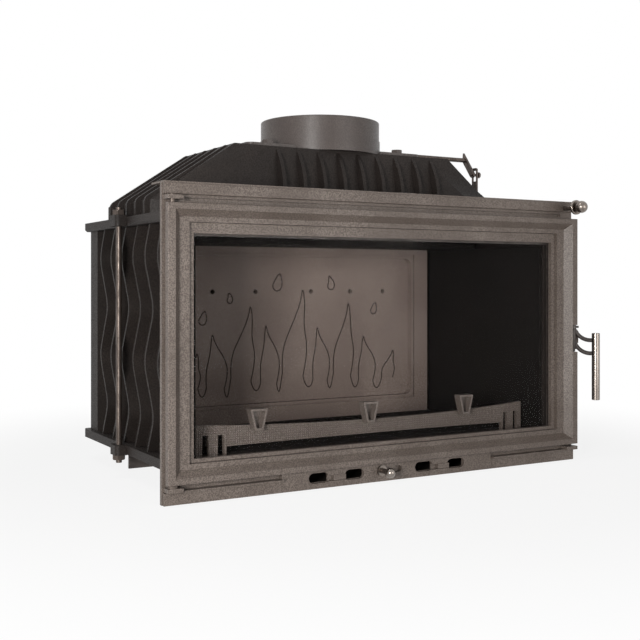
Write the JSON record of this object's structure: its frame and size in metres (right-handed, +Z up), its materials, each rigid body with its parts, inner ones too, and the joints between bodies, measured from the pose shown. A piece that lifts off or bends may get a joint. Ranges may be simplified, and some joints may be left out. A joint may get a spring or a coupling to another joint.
{
  "type": "fireplace insert",
  "caption": "Wide cast-iron fireplace insert with a framed glass door, slotted air control, ribbed smoke hood, flue spigot and turning damper.",
  "frame": {"origin": "middle of the underside of the air box, on which the insert stands", "axes": "+X to the right as seen from the front, +Y to the back, +Z up"},
  "size_m": [0.7647, 0.4701, 0.566],
  "materials": {
    "cast": "fine speckled stove paint",
    "lining": "unpainted, matt",
    "sheet": "satin",
    "steel": "dull",
    "bright": "polished",
    "glass": "clear ceramic glass",
    "rope": "graphited rope and tape"
  },
  "bodies": {
    "insert": {"air_box": "sheet", "bottom_casting": "cast", "top_casting": "cast", "right_side_casting": "cast", "left_side_casting": "cast", "back_casting": "cast", "tie_rods": "steel", "tie_rod_nuts": "steel", "hearth_floor": "cast", "fireback": "lining", "right_liner": "lining", "left_liner": "lining", "smoke_baffle": "cast", "front_plate": "cast", "canopy": "cast", "canopy_clip": "sheet", "hinge_lugs": "cast", "spare_lug": "cast", "hinge_pins": "steel", "hinge_washer": "steel", "keeper_pad": "steel", "air_cover": "cast", "hood": "cast", "flue_spigot": "cast", "flange_bolts": "steel"},
    "door": {"door_frame": "cast", "door_seal": "rope", "glass_ring": "cast", "glass_tape": "rope", "door_glass": "glass", "glass_clamp": "sheet", "clamp_screws": "steel", "handle_pin": "steel"},
    "handle": {"handle_barrel": "steel", "handle_arms": "steel", "handle_grip": "bright", "latch_finger": "steel"},
    "air_control": {"air_shutter": "sheet", "air_stem": "steel", "air_ring": "bright", "air_ball": "bright"},
    "damper_pull": {"pull_rod": "steel", "pull_upright": "steel", "pull_stop": "bright", "pull_ball": "bright"},
    "damper": {"damper_spindle": "steel", "damper_blade": "sheet", "damper_lever": "steel", "lever_pin": "steel"},
    "ash_pan": {"ash_pan": "sheet"},
    "grate": {"grate": "cast"},
    "log_guard": {"log_guard": "cast", "guard_studs": "cast"}
  },
  "joints": [
    {"name": "door_swing", "type": "hinge", "parent": "insert", "child": "door", "pos_m": [-0.3559, -0.1561, 0.216], "axis": [0, 0, -1], "range_deg": [0, 90]},
    {"name": "handle_turn", "type": "hinge", "parent": "door", "child": "handle", "pos_m": [0.3615, -0.1556, 0.206], "axis": [0, 0, -1], "range_deg": [0, 40]},
    {"name": "air_slide", "type": "slide", "parent": "insert", "child": "air_control", "axis": [1, 0, 0], "range_m": [0, 0.024]},
    {"name": "damper_pull", "type": "slide", "parent": "insert", "child": "damper_pull", "axis": [0, -1, 0], "range_m": [-0.0185, 0.006]},
    {"name": "damper_turn", "type": "hinge", "parent": "insert", "child": "damper", "pos_m": [0, 0.068, 0.523], "axis": [-1, 0, 0], "range_deg": [-36, 12]},
    {"name": "ash_pan_lift", "type": "slide", "parent": "insert", "child": "ash_pan", "axis": [0, 0, 1], "range_m": [0, 0.1]},
    {"name": "grate_lift", "type": "slide", "parent": "ash_pan", "child": "grate", "axis": [0, 0, 1], "range_m": [0, 0.08]},
    {"name": "guard_lift", "type": "slide", "parent": "insert", "child": "log_guard", "axis": [0, 0, 1], "range_m": [0, 0.06]}
  ],
  "couplings": [
    {"joint": "damper_turn", "follows": "damper_pull", "rad_per_m": 33.2}
  ]
}
